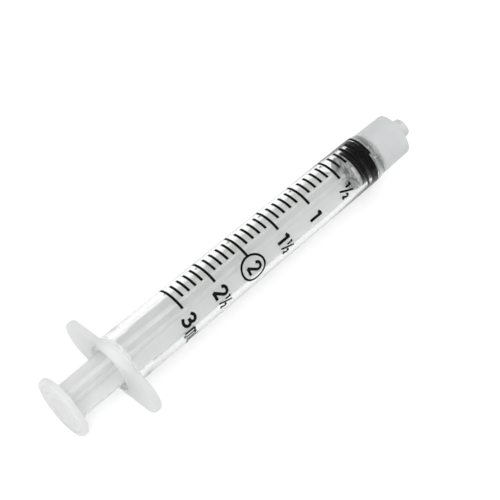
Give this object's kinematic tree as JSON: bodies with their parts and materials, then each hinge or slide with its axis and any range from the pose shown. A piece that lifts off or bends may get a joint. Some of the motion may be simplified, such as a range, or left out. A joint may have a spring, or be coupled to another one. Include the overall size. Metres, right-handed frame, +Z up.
{
  "type": "luer lock syringe",
  "caption": "Small syringe with a clear graduated barrel, finger flange, cross-shaped plunger rod, rubber stopper and a threaded lock collar round its tapered tip.",
  "frame": {"origin": "on the surface it lies on, below the middle of the overall length and width", "axes": "+X along the syringe's axis towards the tip, +Z up. It lies on the thumb rest's rim and on the edge of the +Y wing, so the wings are rolled 12 degrees about X out of the XY plane"},
  "size_m": [0.0926, 0.027, 0.0135],
  "materials": {
    "clear_polypropylene": "clear, slightly milky",
    "black_rubber": "smooth, siliconed",
    "milky_polypropylene": "satin, slightly translucent",
    "black_ink": "printed scale, in the dressed scene only"
  },
  "bodies": {
    "barrel": {"barrel": "clear_polypropylene"},
    "stopper": {"stopper": "black_rubber"},
    "plunger_rod": {"plunger_rod": "milky_polypropylene"}
  },
  "joints": [
    {"name": "plunger_slide", "type": "slide", "parent": "barrel", "child": "stopper", "axis": [-1, 0, 0], "range_m": [0, 0.05693]},
    {"name": "rod_turn", "type": "hinge", "parent": "stopper", "child": "plunger_rod", "pos_m": [0.0305, 0, 0.00677], "axis": [1, 0, 0], "continuous": true}
  ]
}
